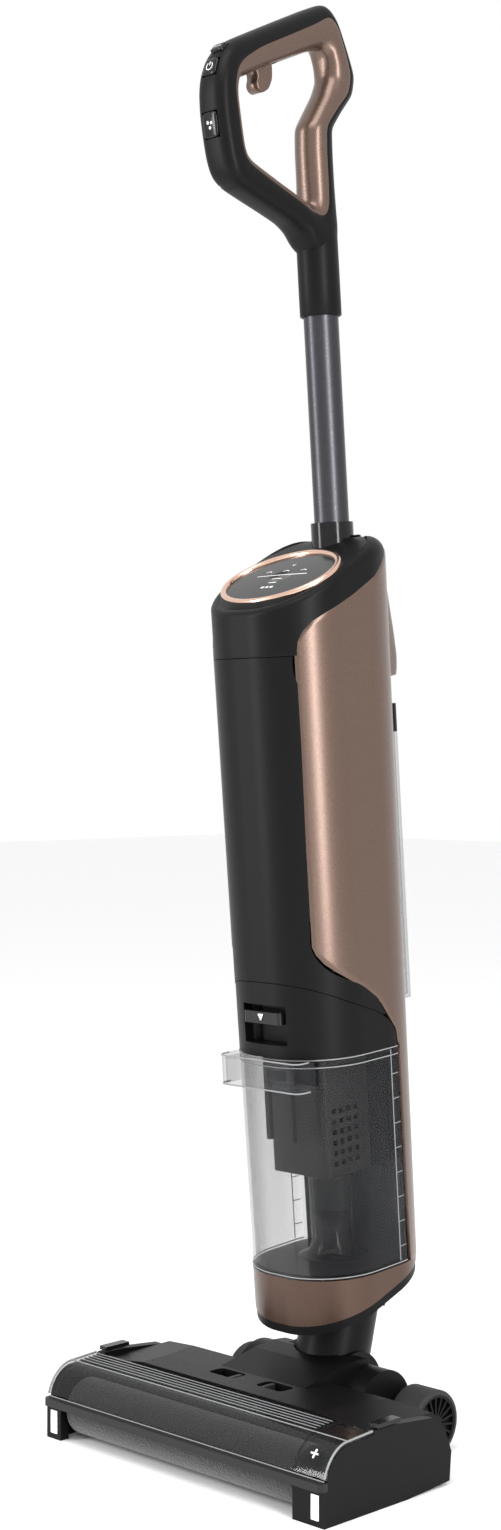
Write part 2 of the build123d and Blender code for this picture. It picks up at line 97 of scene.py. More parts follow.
def grain(tree, shader, place, size_mm, depth_mm, low, high, detail=2.0):
    """Moulded or painted grain: a noise of that size drives both bump and roughness."""
    noise = add(tree, "ShaderNodeTexNoise", inputs={"Scale": 1000.0 / size_mm, "Detail": detail},
                links=[("Vector", place)])
    spread = add(tree, "ShaderNodeMapRange",
                 inputs={"From Min": 0.35, "From Max": 0.65, "To Min": low, "To Max": high},
                 links=[("Value", noise.outputs["Fac"])])
    tree.links.new(spread.outputs["Result"], shader.inputs["Roughness"])
    bump = add(tree, "ShaderNodeBump", inputs={"Strength": 1.0, "Distance": depth_mm / 1000},
               links=[("Height", noise.outputs["Fac"])])
    tree.links.new(bump.outputs["Normal"], shader.inputs["Normal"])
    return noise


def tint(tree, shader, noise, first, second):
    """Varies the base colour a little between two near colours along a noise."""
    mix = add(tree, "ShaderNodeMix", settings={"data_type": "RGBA"},
              links=[(0, noise.outputs["Fac"])])
    mix.inputs[6].default_value = hex_colour(first)
    mix.inputs[7].default_value = hex_colour(second)
    tree.links.new(mix.outputs[2], shader.inputs["Base Color"])


def eroded_abs():
    """Black ABS moulded in a spark-eroded tool: fine matt grain, soft wide highlights."""
    material, tree, shader, place = blank("abs_spark_eroded_black")
    noise = grain(tree, shader, place, 0.9, 0.02, 0.36, 0.46)
    tint(tree, shader, noise, "#0a0a0b", "#0e0e0f")
    set_shader(shader, Specular_IOR_Level=0.12)
    return material


def polished_abs(name="abs_polished_black", colour="#0f0f11"):
    """Black ABS from a polished tool: sharp highlights with faint waviness."""
    material, tree, shader, place = blank(name)
    grain(tree, shader, place, 6.0, 0.01, 0.1, 0.18)
    set_shader(shader, Base_Color=hex_colour(colour), Specular_IOR_Level=0.3)
    return material


def grey_abs():
    """Dark grey ABS, lightly textured."""
    material, tree, shader, place = blank("abs_textured_dark_grey")
    noise = grain(tree, shader, place, 0.9, 0.006, 0.42, 0.55)
    tint(tree, shader, noise, "#1b1b1c", "#232324")
    set_shader(shader, Specular_IOR_Level=0.25)
    return material


def metallic_paint(name, dark, light):
    """Two-coat metallic paint: aluminium flake of about 0.1 mm, drawn at 0.6 mm so it shows."""
    material, tree, shader, place = blank(name)
    noise = grain(tree, shader, place, 0.6, 0.004, 0.26, 0.36, 1.0)
    tint(tree, shader, noise, dark, light)
    set_shader(shader, Metallic=0.72, Coat_Weight=0.25, Coat_Roughness=0.25)
    return material


def anodised(name, colour, roughness):
    """Anodised aluminium: metal colour with a faint drawn grain."""
    material, tree, shader, place = blank(name)
    grain(tree, shader, place, 1.5, 0.003, roughness, roughness + 0.08)
    set_shader(shader, Base_Color=hex_colour(colour), Metallic=1.0)
    return material


def clear_moulding(name, colour, centre, edge):
    """Clear polycarbonate: seen through in the middle, denser and brighter at grazing angles."""
    material, tree, shader, place = blank(name)
    facing = add(tree, "ShaderNodeLayerWeight", inputs={"Blend": 0.35})
    density = add(tree, "ShaderNodeMapRange", inputs={"To Min": centre, "To Max": edge},
                  links=[("Value", facing.outputs["Facing"])])
    tree.links.new(density.outputs["Result"], shader.inputs["Alpha"])
    grain(tree, shader, place, 9.0, 0.008, 0.03, 0.07)
    set_shader(shader, Base_Color=hex_colour(colour), IOR=1.585)
    return material


def rubber(name, colour, size_mm):
    """Moulded rubber: matt, slightly uneven."""
    material, tree, shader, place = blank(name)
    noise = grain(tree, shader, place, size_mm, 0.05, 0.62, 0.78)
    tint(tree, shader, noise, colour, "#232325")
    return material


def microfibre():
    """Woven microfibre pile: short dark grey loops about 1.2 mm apart with a soft sheen."""
    material, tree, shader, place = blank("microfibre_pile_grey")
    loops = add(tree, "ShaderNodeTexVoronoi", inputs={"Scale": 1000.0 / 1.6},
                links=[("Vector", place)])
    noise = add(tree, "ShaderNodeTexNoise", inputs={"Scale": 1000.0 / 7.0, "Detail": 4.0},
                links=[("Vector", place)])
    mix = add(tree, "ShaderNodeMix", settings={"data_type": "RGBA"},
              links=[(0, noise.outputs["Fac"])])
    mix.inputs[6].default_value = hex_colour("#0b0b0c")
    mix.inputs[7].default_value = hex_colour("#29292b")
    tree.links.new(mix.outputs[2], shader.inputs["Base Color"])
    bump = add(tree, "ShaderNodeBump", inputs={"Strength": 1.0, "Distance": 0.0005},
               links=[("Height", loops.outputs["Distance"])])
    tree.links.new(bump.outputs["Normal"], shader.inputs["Normal"])
    set_shader(shader, Roughness=0.9, Sheen_Weight=0.4, Sheen_Roughness=0.5)
    return material


def steel(name, colour, roughness):
    """Bare or plated steel with a fine turned grain."""
    material, tree, shader, place = blank(name)
    grain(tree, shader, place, 0.8, 0.006, roughness, roughness + 0.1)
    set_shader(shader, Base_Color=hex_colour(colour), Metallic=1.0)
    return material


def lamp_lens():
    """Frosted acrylic over white lamps: pale, bright, softly glowing."""
    material, tree, shader, place = blank("acrylic_frosted_lens")
    grain(tree, shader, place, 1.2, 0.02, 0.3, 0.45)
    set_shader(shader, Base_Color=hex_colour("#f2f2f2"), Emission_Color=(1, 1, 1, 1),
               Emission_Strength=0.35)
    return material


def printed_white(name="pad_print_white", colour="#e8e8e8"):
    """Pad-printed mark: thin flat ink."""
    material, tree, shader, place = blank(name)
    grain(tree, shader, place, 1.0, 0.002, 0.5, 0.6)
    set_shader(shader, Base_Color=hex_colour(colour))
    return material


def board_lacquer():
    """Green solder lacquer over copper."""
    material, tree, shader, place = blank("solder_lacquer_green")
    noise = grain(tree, shader, place, 3.0, 0.02, 0.3, 0.4)
    tint(tree, shader, noise, "#0c3018", "#14452a")
    return material


def fleece():
    """Pleated filter fleece: off-white, matt, fibrous."""
    material, tree, shader, place = blank("filter_fleece_white")
    noise = grain(tree, shader, place, 1.2, 0.2, 0.85, 0.95)
    tint(tree, shader, noise, "#cfcabd", "#e2dfd6")
    return material


ABS = eroded_abs()
GLOSS = polished_abs()
GREY = grey_abs()
BRONZE = metallic_paint("metallic_paint_bronze", "#5f4c42", "#68544a")
BRONZE_DARK = metallic_paint("metallic_paint_dark_bronze", "#4c382e", "#543f34")
ROSE = anodised("aluminium_anodised_rose", "#e3bda9", 0.16)
TUBE = anodised("aluminium_anodised_black", "#47474b", 0.3)
WINDOW = polished_abs("acrylic_smoked_window", "#151517")
TANK = clear_moulding("polycarbonate_clear_tank", "#242528", 0.08, 0.5)
COVER = clear_moulding("polycarbonate_clear_cover", "#1b1c1e", 0.22, 0.6)
RUBBER = rubber("rubber_moulded_black", "#151516", 1.2)
TREAD = rubber("rubber_tread_black", "#1a1a1b", 0.8)
NAP = microfibre()
STEEL = steel("steel_zinc_plated", "#b9bcc0", 0.3)
LENS = lamp_lens()
PRINT = printed_white()
BOARD = board_lacquer()
FLEECE = fleece()
# Pale grey for thin rods along clear rims and ribs: painted highlights where light catches the clear
# plastic's edges.
EDGE = polished_abs("clear_edge_painted_highlight", "#858687")
CELLS = polished_abs("pvc_shrink_sleeve_blue_grey", "#232a38")

slot_finish = {
    "black_moulding": ABS, "black_gloss": GLOSS, "grey_moulding": GREY, "bronze_paint": BRONZE,
    "bronze_dark": BRONZE_DARK, "rose_ring": ROSE, "display_glass": WINDOW,
    "circuit_board": BOARD, "clear_tank": TANK, "clear_cover": COVER, "clear_lens": LENS,
    "black_tube": TUBE, "black_rubber": RUBBER, "tyre_rubber": TREAD, "roller_nap": NAP,
    "cell_pack": CELLS, "motor_steel": STEEL, "bearing_steel": STEEL, "screw_steel": STEEL,
    "filter_fabric": FLEECE,
}
slot_of = {entry["node"]: entry["material_slot"] for entry in frame["record"]["subparts"]}
for name, made in nodes.items():
    made.data.materials.clear()
    made.data.materials.append(slot_finish[slot_of[name]])


# ---- surfaces ----

def leaned(x, y, z):
    """Points of the upright body frame, leaned about the neck's pivot, in metres."""
    back = y + AXIS_OFFSET
    return np.stack([x, PIVOT_Y + back * np.cos(LEAN) - z * np.sin(LEAN),
                     PIVOT_Z + back * np.sin(LEAN) + z * np.cos(LEAN)], -1) / 1000


def on_head(x, y, z):
    """Points of the floor head, with y counted from the front of its feet, in metres."""
    return np.stack([x, y + FRONT, z], -1) / 1000


def surface(name, grid, place, finish, body, wrap=(False, False), keep=None, thick=0.0,
            bevel=0.0, stands_for=(), inward=False):
    """A mesh from three equal arrays, one quad per cell. wrap joins the last row or column to the
    first, keep drops cells, thick adds a wall on the inner side, bevel rounds its rims."""
    x, y, z = (np.broadcast_to(a, np.broadcast_shapes(*(g.shape for g in grid))) for a in grid)
    rows, columns = x.shape
    points = place(x, y, z).reshape(-1, 3)
    r = np.arange(rows if wrap[0] else rows - 1)[:, None]
    c = np.arange(columns if wrap[1] else columns - 1)[None, :]
    low, high = r * columns, (r + 1) % rows * columns
    beside = (c + 1) % columns
    faces = np.stack(np.broadcast_arrays(low + c, low + beside, high + beside, high + c), -1)
    faces = faces.reshape(-1, 4) if keep is None else faces[keep]
    a, b, d, e = (points[faces[:, i]] for i in range(4))
    out = np.cross(d - a, e - b)
    middle = (a + b + d + e) / 4
    if ((out * (middle - middle.mean(0))).sum() < 0) != inward:
        faces = faces[:, ::-1]
    mesh = bpy.data.meshes.new(name)
    mesh.from_pydata(points.tolist(), [], faces.tolist())
    mesh.polygons.foreach_set("use_smooth", np.ones(len(mesh.polygons), bool))
    mesh.materials.append(finish)
    tidy = bmesh.new()
    tidy.from_mesh(mesh)
    bmesh.ops.remove_doubles(tidy, verts=tidy.verts, dist=1e-6)
    bmesh.ops.dissolve_degenerate(tidy, edges=tidy.edges, dist=1e-6)
    loose = [v for v in tidy.verts if not v.link_faces]
    bmesh.ops.delete(tidy, geom=loose, context="VERTS")
    tidy.to_mesh(mesh)
    tidy.free()
    mesh.set_sharp_from_angle(angle=np.radians(50.0))
    piece = bpy.data.objects.new(name, mesh)
    bpy.context.scene.collection.objects.link(piece)
    if thick:
        wall = piece.modifiers.new("wall", "SOLIDIFY")
        wall.thickness = thick / 1000
        wall.offset = -1.0
    if bevel:
        rim = piece.modifiers.new("rim", "BEVEL")
        rim.width = bevel / 1000
        rim.segments = 2
        rim.limit_method = "ANGLE"
        rim.angle_limit = np.radians(50.0)
    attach(piece, body)
    if stands_for:
        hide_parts(*stands_for)
    return piece


def ease(t):
    """Smooth step from 0 to 1."""
    t = np.clip(t, 0.0, 1.0)
    return t * t * (3.0 - 2.0 * t)


def smooth_loop(values, steps, width_mm, length):
    """Values at the knots of a closed loop, sampled evenly by length and softened with a
    bell-shaped average of that width. length is each knot's distance along the loop."""
    ends = np.append(length, length[-1] + np.hypot(*(values[0, :2] - values[-1, :2])))
    around = np.vstack([values, values[:1]])
    t = np.linspace(0, ends[-1], steps, endpoint=False)
    even = np.stack([np.interp(t, ends, around[:, i]) for i in range(values.shape[1])], 1)
    wave = np.fft.fftfreq(steps, ends[-1] / steps) * 2 * np.pi
    bell = np.exp(-0.5 * (wave * width_mm) ** 2)[:, None]
    return np.fft.ifft(np.fft.fft(even, axis=0) * bell, axis=0).real


def rounded_power(angle, power):
    """Cosine and sine raised so that the oval they draw gets flatter sides as power grows."""
    c, s = np.cos(angle), np.sin(angle)
    return np.sign(c) * np.abs(c) ** (2 / power), np.sign(s) * np.abs(s) ** (2 / power)


# ---- the handle: one closed loop, black outside and bronze inside ----

def handle_stations():
    """Pairs of outer and inner points round the loop, half thickness, squareness and the share
    of the depth that is black: columns y, z, y, z, b, n, f."""
    return np.array([
        (-60.5, 1001.0, -42.6, 984.0, 14.6, 2.6, 0.62),
        (-54.0, 1009.5, -41.5, 988.0, 14.6, 2.6, 0.58),
        (-44.0, 1016.8, -34.0, 991.0, 14.2, 2.5, 0.52),
        (-20.0, 1027.0, -15.0, 999.0, 14.0, 2.4, 0.47),
        (10.0, 1039.5, 15.0, 1010.5, 14.0, 2.4, 0.46),
        (38.0, 1051.0, 40.0, 1020.0, 14.0, 2.4, 0.44),
        (58.0, 1058.5, 52.0, 1023.0, 14.0, 2.4, 0.36),
        (68.0, 1050.0, 56.0, 1017.0, 14.2, 2.4, 0.3),
        (79.0, 1026.0, 57.0, 1010.0, 14.6, 2.2, 0.34),
        (87.6, 1006.0, 56.0, 1001.0, 14.8, 2.1, 0.38),
        (84.5, 991.0, 50.0, 990.0, 14.6, 2.1, 0.36),
        (71.0, 977.0, 40.5, 977.0, 14.4, 2.1, 0.42),
        (58.4, 962.0, 30.5, 963.0, 14.3, 2.1, 0.47),
        (57.8, 940.0, 29.3, 945.0, 14.3, 2.1, 0.49),
        (57.8, 918.0, 29.3, 925.0, 14.4, 2.1, 0.49),
        (57.8, 898.0, 29.2, 908.0, 14.8, 2.2, 0.52),
        (57.8, 880.0, 28.6, 905.0, 15.6, 2.3, 0.62),
        (54.0, 864.0, 27.4, 904.3, 16.0, 2.3, 0.72),
        (40.0, 861.0, 25.6, 904.6, 16.0, 2.3, 0.78),
        (27.4, 866.0, 23.0, 905.2, 15.8, 2.4, 0.76),
        (19.5, 878.5, 19.0, 906.6, 15.2, 2.5, 0.7),
        (8.0, 886.8, 11.0, 910.0, 15.0, 2.6, 0.66),
        (-12.0, 894.5, -8.0, 918.2, 15.0, 2.6, 0.66),
        (-31.0, 901.5, -24.0, 925.3, 15.0, 2.7, 0.67),
        (-49.0, 908.5, -35.5, 930.5, 15.2, 2.8, 0.68),
        (-58.0, 915.5, -39.5, 934.5, 15.3, 2.8, 0.68),
        (-62.5, 928.0, -41.2, 941.0, 15.3, 2.8, 0.68),
        (-65.2, 945.0, -42.3, 952.0, 15.2, 2.8, 0.68),
        (-67.0, 962.0, -43.4, 964.0, 15.1, 2.8, 0.68),
        (-67.0, 978.0, -44.4, 974.5, 15.0, 2.7, 0.66),
        (-65.0, 990.0, -43.9, 980.5, 14.8, 2.7, 0.64),
    ])


def handle_half(name, finish, black, stands_for):
    """Sweep of a squared oval round the loop: each section runs from the outer to the inner
    point, and this half covers the angles on its side of the black and bronze line."""
    knots = handle_stations()
    middles = (knots[:, :2] + knots[:, 2:4]) / 2
    length = np.append(0, np.cumsum(np.hypot(*np.diff(middles, axis=0).T)))
    loop = smooth_loop(np.hstack([middles, knots]), 300, 3.2, length)[:, 2:]
    outer, inner = loop[:, None, 0:2], loop[:, None, 2:4]
    across = outer - inner
    deep = np.linalg.norm(across, axis=2) / 2
    seam = np.arccos(1 - 2 * loop[:, 6])[:, None]
    t = np.linspace(-1, 1, 41)[None, :]
    angle = seam * t if black else seam + (np.pi - seam) * (1 + t)
    shrink = 1 - 0.5 / 15 * (np.abs(t) > 0.999)
    if black:
        joint_line = np.abs(np.arange(300) - np.argmin(np.hypot(loop[:, 0] + 50, loop[:, 1] - 909)))
        shrink = shrink - 0.03 * (joint_line == 0)[:, None]
    c, s = rounded_power(angle, loop[:, 5][:, None])
    middle = (outer + inner) / 2
    along = across / (2 * deep[..., None])
    y = middle[..., 0] + deep * c * shrink * along[..., 0]
    z = middle[..., 1] + deep * c * shrink * along[..., 1]
    x = loop[:, 4][:, None] * s * shrink
    return surface(name, (x, y, z), leaned, finish, "main_body", (True, True),
                   stands_for=stands_for)


def cut(piece, corners):
    """Cuts blocks out of a piece. Each block is eight points in metres, lowest face first."""
    mesh = bpy.data.meshes.new("cutter")
    sides = [(3, 2, 1, 0), (4, 5, 6, 7), (0, 1, 5, 4), (1, 2, 6, 5), (2, 3, 7, 6), (3, 0, 4, 7)]
    points = np.vstack(corners)
    faces = [tuple(8 * k + i for i in side) for k in range(len(corners)) for side in sides]
    mesh.from_pydata(points.tolist(), [], faces)
    cutter = bpy.data.objects.new("cutter", mesh)
    bpy.context.scene.collection.objects.link(cutter)
    step = piece.modifiers.new("pocket", "BOOLEAN")
    step.operation = "DIFFERENCE"
    step.object = cutter
    step.solver = "EXACT"
    bpy.context.view_layer.update()
    result = bpy.data.meshes.new_from_object(piece.evaluated_get(
        bpy.context.evaluated_depsgraph_get()))
    piece.modifiers.remove(step)
    piece.data = result
    bpy.data.objects.remove(cutter)
    result.set_sharp_from_angle(angle=np.radians(40.0))


KEYS = {
    "boost_button": (-53.0, 1010.4, -47.3, 13.0, 9.0),
    "power_button": (-62.2, 995.0, -22.6, 14.0, 14.0),
    "mode_button": (-65.3, 953.0, 4.5, 15.0, 19.0),
}


def key_points(name, x, up, deep):
    """Points on a key: x across, up along its face, deep into the handle."""
    y, z, tilt, _, _ = KEYS[name]
    t = np.radians(tilt)
    return leaned(x, y + deep * np.cos(t) - up * np.sin(t), z + deep * np.sin(t) + up * np.cos(t))


def key_pocket(name):
    """The block that a key moves in."""
    _, _, _, wide, tall = KEYS[name]
    a, b = wide / 2 + 0.35, tall / 2 + 0.35
    x = np.array([-a, a, a, -a, -a, a, a, -a])
    up = np.array([-b, -b, b, b, -b, -b, b, b])
    deep = np.array([3.8] * 4 + [-6.0] * 4)
    return key_points(name, x, up, deep)


def squared_ring(half_wide, half_tall, power, count):
    """A squared oval as two arrays, once round."""
    c, s = rounded_power(np.linspace(0, 2 * np.pi, count, endpoint=False), power)
    return half_wide * c, half_tall * s


def key_cap(name):
    """A key's crowned face and sides: squared ovals stacked from the back to the crown, then
    drawn in to a middle point."""
    _, _, _, wide, tall = KEYS[name]
    size = np.array([0.97, 0.97, 0.96, 0.9, 0.7, 0.4, 0.02])[:, None]
    deep = np.array([2.3, -0.5, -0.9, -1.25, -1.5, -1.6, -1.62])[:, None]
    x, up = squared_ring(wide / 2, tall / 2, 5.0, 64)

    def place(a, b, d):
        return key_points(name, a, b, d)
    return surface(name + "_cap", (size * x, size * up, deep), place, GLOSS, name,
                   (False, True), stands_for=(name,))


def mark(name, x, y, place, body):
    """A printed strip, 0.05 mm thick, between two sides given as a grid."""
    return surface(name, (x, y, np.zeros_like(x)), place, PRINT, body, thick=0.05)


def ribbon(points, half_wide):
    """The two sides of a line of that half width, as rows of a grid."""
    points = np.asarray(points, float)
    run = np.gradient(points, axis=0)
    run /= np.linalg.norm(run, axis=1)[:, None]
    side = np.stack([-run[:, 1], run[:, 0]], 1) * half_wide
    both = np.stack([points - side, points + side])
    return both[..., 0], both[..., 1]


def key_marks():
    """Ring and bar on the power key, three crossed flakes on the mode key, and three chevrons
    on the boost key."""
    def on_key(key):
        return lambda a, b, d: key_points(key, a, b, d - 1.66)
    angle = np.radians(np.linspace(125, 415, 30))
    ring = np.stack([3.0 * np.cos(angle), 3.0 * np.sin(angle)], 1)
    x, y = ribbon(ring, 0.35)
    mark("power_ring", x, y, on_key("power_button"), "power_button")
    x, y = ribbon([(0, 0.6), (0, 2.2), (0, 3.8)], 0.35)
    mark("power_bar", x, y, on_key("power_button"), "power_button")
    for k, (a, b, r) in enumerate([(-1.6, 1.6, 1.5), (1.9, 1.2, 1.3), (0.2, -2.2, 1.4)]):
        for j in range(3):
            turn = np.radians(60 * j)
            line = [(a + t * r * np.cos(turn), b + t * r * np.sin(turn)) for t in (-1, 0, 1)]
            x, y = ribbon(line, 0.25)
            mark(f"mode_flake_{k}_{j}", x, y, on_key("mode_button"), "mode_button")
    for k in (-1, 0, 1):
        x, y = ribbon([(2.4 * k - 0.8, -0.6), (2.4 * k, 0.4), (2.4 * k + 0.8, -0.6)], 0.25)
        mark(f"boost_chevron_{k + 1}", x, y, on_key("boost_button"), "boost_button")


def pebble(name, knots, widths, insets, finish, body, stands_for=(), soft=1.6):
    """A thick flat shape: a softened closed outline in the side view, drawn in by the insets
    at the given widths, and closed at both ends on its middle."""
    knots = np.asarray(knots, float)
    length = np.append(0, np.cumsum(np.hypot(*np.diff(knots, axis=0).T)))
    line = smooth_loop(knots, 96, soft, length)
    centre = line.mean(0)
    run = np.roll(line, -1, 0) - np.roll(line, 1, 0)
    run /= np.linalg.norm(run, axis=1)[:, None]
    out = np.stack([run[:, 1], -run[:, 0]], 1)
    if ((line - centre) * out).sum() < 0:
        out = -out
    insets = np.asarray(insets, float)[:, None, None]
    rings = line[None] - insets * out[None]
    rings = np.concatenate([centre + 0 * rings[:1], rings, centre + 0 * rings[:1]])
    x = np.array([widths[0], *widths, widths[-1]], float)[:, None]
    return surface(name, (x, rings[..., 0], rings[..., 1]), leaned, finish, body,
                   (False, True), stands_for=stands_for)


def make_handle():
    """Handle halves with the keys' and trigger's pockets, key caps, trigger and collar."""
    black = handle_half("handle_outer_half", ABS, True, ("handle_shell",))
    bronze = handle_half("handle_inner_half", BRONZE, False, ("grip_loop",))
    slot_block = leaned(np.array([-6.6, 6.6, 6.6, -6.6] * 2),
                        np.array([-30.5, -30.5, 2.5, 2.5] * 2), np.array([970.0] * 4 + [1015.0] * 4))
    cut(black, [key_pocket(name) for name in KEYS] + [slot_block])
    cut(bronze, [slot_block])
    for name in KEYS:
        key_cap(name)
    key_marks()
    hook = [(-27, 1008), (-15, 1010), (-4.5, 1011), (-2.8, 1002), (-3.4, 993), (-7.5, 985.5),
            (-14.5, 981.5), (-20, 983.5), (-21.5, 988.5), (-19.5, 991.5), (-20, 997), (-26, 1001)]
    pebble("trigger_hook", hook, [-6.2, -6.2, -5.2, 5.2, 6.2, 6.2], [3.0, 1.0, 0, 0, 1.0, 3.0],
           BRONZE, "trigger", ("trigger",))
    lathe("handle_sleeve", [(13.7, 820.2), (15.4, 819.8), (16.1, 820.6), (16.1, 850), (16.0, 884)],
          ABS, "main_body", ("handle_collar",))


def lathe(name, profile, finish, body, stands_for=(), centre_y=POLE_Y, count=72):
    """A profile of radius and height turned about an upright axis."""
    profile = np.asarray(profile, float)
    angle = np.linspace(0, 2 * np.pi, count, endpoint=False)[None, :]
    r, z = profile[:, 0][:, None], profile[:, 1][:, None]
    return surface(name, (r * np.cos(angle), centre_y + r * np.sin(angle), z + 0 * angle),
                   leaned, finish, body, (False, True), stands_for=stands_for)


# ---- the body's skin ----

CORNER = 50.0
EDGE_TOP = np.array([(-51.0, 562.4), (-50.9, 568.0), (-50.0, 574.0), (-47.0, 581.0),
                     (-41.0, 587.8), (-30.0, 594.0), (-2.0, 606.0), (24.0, 619.5),
                     (38.0, 630.5), (46.0, 636.5), (56.0, 640.5), (68.5, 642.0)])
EDGE_LOW = np.array([(-51.0, 352.0), (-50.4, 346.5), (-48.5, 340.0), (-44.0, 333.0),
                     (-36.0, 326.0), (-24.0, 318.0), (-8.0, 308.0), (6.0, 297.0),
                     (14.5, 284.5), (22.0, 274.5), (24.3, 262.2)])


def outline(s, z, inset=0.0):
    """A rounded oblong at height z, s millimetres along from its front middle to its back
    middle on the +x side, moved in along its normal."""
    t = (z - 40.0) / 625.0
    half, to_front, to_back = 55.8 + 2.6 * t, 62.1 + 4.2 * t, 63.3 + 3.7 * t
    flat, arc, side = half - CORNER, CORNER * np.pi / 2, to_front + to_back - 2 * CORNER
    first = np.clip((s - flat) / CORNER, 0, np.pi / 2)
    second = np.clip((s - flat - arc - side) / CORNER, 0, np.pi / 2)
    last = np.maximum(s - flat - 2 * arc - side, 0)
    turn = first + second
    x = np.clip(s, 0, flat) + CORNER * (np.sin(first) - 1 + np.cos(second)) - last
    y = -to_front + CORNER * (1 - np.cos(first) + np.sin(second)) + np.clip(s - flat - arc, 0, side)
    return x - inset * np.sin(turn), y + inset * np.cos(turn)


def s_at(y, z):
    """Where along the outline it reaches y."""
    t = (z - 40.0) / 625.0
    half, to_front, to_back = 55.8 + 2.6 * t, 62.1 + 4.2 * t, 63.3 + 3.7 * t
    flat, arc, side = half - CORNER, CORNER * np.pi / 2, to_front + to_back - 2 * CORNER
    near = flat + CORNER * np.arccos(np.clip(1 - (y + to_front) / CORNER, 0, 1))
    far = flat + arc + side + CORNER * np.arcsin(np.clip((y - to_back + CORNER) / CORNER, 0, 1))
    middle = flat + arc + y + to_front - CORNER
    return np.where(y < CORNER - to_front, near, np.where(y > to_back - CORNER, far, middle))


def shell_half(side):
    """One bronze side shell: columns along the outline from the front edge to the back middle,
    rows from the lower to the upper edge. It stands 0.8 mm proud behind a soft lip, and a ridge
    above the clean tank swells out of its back."""
    start = float(s_at(-50.8, 450.0))
    total = float(s_at(99.0, 450.0)) + 7.4
    lip = start + 9 * np.linspace(0, 1, 26) ** 2
    s = np.concatenate([lip, np.linspace(start + 9, s_at(TANK_BACK, 200.0), 70)[1:],
                        np.linspace(s_at(TANK_BACK + 0.02, 200.0), total - 34.0, 50),
                        np.linspace(total - 33.9, total, 60)])[None, :]
    _, y0 = outline(s, 400.0)
    low = np.where(y0 < TANK_BACK + 0.01, np.interp(y0, EDGE_LOW[:, 0], EDGE_LOW[:, 1]), TANK_TOP)
    _, y1 = outline(s, 610.0)
    high = np.interp(y1, EDGE_TOP[:, 0], EDGE_TOP[:, 1])
    cut_low, cut_high = np.maximum(WINDOW_LOW, low + 1.0), np.minimum(WINDOW_HIGH, high - 1.5)
    first = np.linspace(0, 1, 60)[:, None]
    near = (np.linspace(0, 1, 30) ** 1.4)[:, None]
    rows = [94.2 + (low - 94.2) * first[:-1], low + (cut_low - low) * near[:-1],
            cut_low + (cut_high - cut_low) * np.linspace(0, 1, 90)[:-1, None],
            cut_high + 0.2 * np.linspace(0, 1, 2)[:-1, None],
            cut_high + 0.2 + (high - cut_high - 0.2) * (1 - (1 - near) ** 1.6)]
    zones = np.cumsum([r.shape[0] for r in rows])
    z = np.vstack(rows)
    s = np.broadcast_to(s, z.shape)
    inside = np.minimum((high - z) * 0.85, s - start)
    inside = np.where(y0 < TANK_BACK + 0.01, np.minimum(inside, (z - low) * 0.85), inside)
    lip_rise = -0.8 * ease(inside / 3.0) + 0.25
    x, y = outline(s, z, lip_rise)
    ridge = np.interp(z, [540.5, 541.5, 548, 557, 575, 600, 622, 636],
                      [0, 12.0, 13.3, 13.6, 11.4, 7.2, 3.0, 0])
    y = y + ridge * ease((38.0 - np.abs(x)) / 8.0)
    keep = np.ones((z.shape[0] - 1, z.shape[1] - 1), bool)
    front_part = y0[0, :-1] < TANK_BACK + 0.005
    keep[:zones[0], :] &= ~front_part[None, :]
    back_part = np.abs(x[zones[2] - 20, :-1]) < 33.9
    keep[zones[1]:zones[2], :] &= ~(back_part & (y0[0, :-1] > 30))[None, :]
    name = "bronze_shell_right" if side > 0 else "bronze_shell_left"
    node = "side_shell_right" if side > 0 else "side_shell_left"
    return surface(name, (side * x, y, z), leaned, BRONZE, "main_body", keep=keep, thick=2.2,
                   bevel=0.5, stands_for=(node,))


def top_height(y):
    """The top face: a slope under the display that levels out behind it."""
    slope = DISPLAY_Z + np.tan(DISPLAY_SLOPE) * (y - DISPLAY_Y)
    level = 650.5 - 0.012 * np.maximum(y - 45, 0) ** 2
    soft = 3.0
    return -soft * np.logaddexp(-slope / soft, -level / soft)


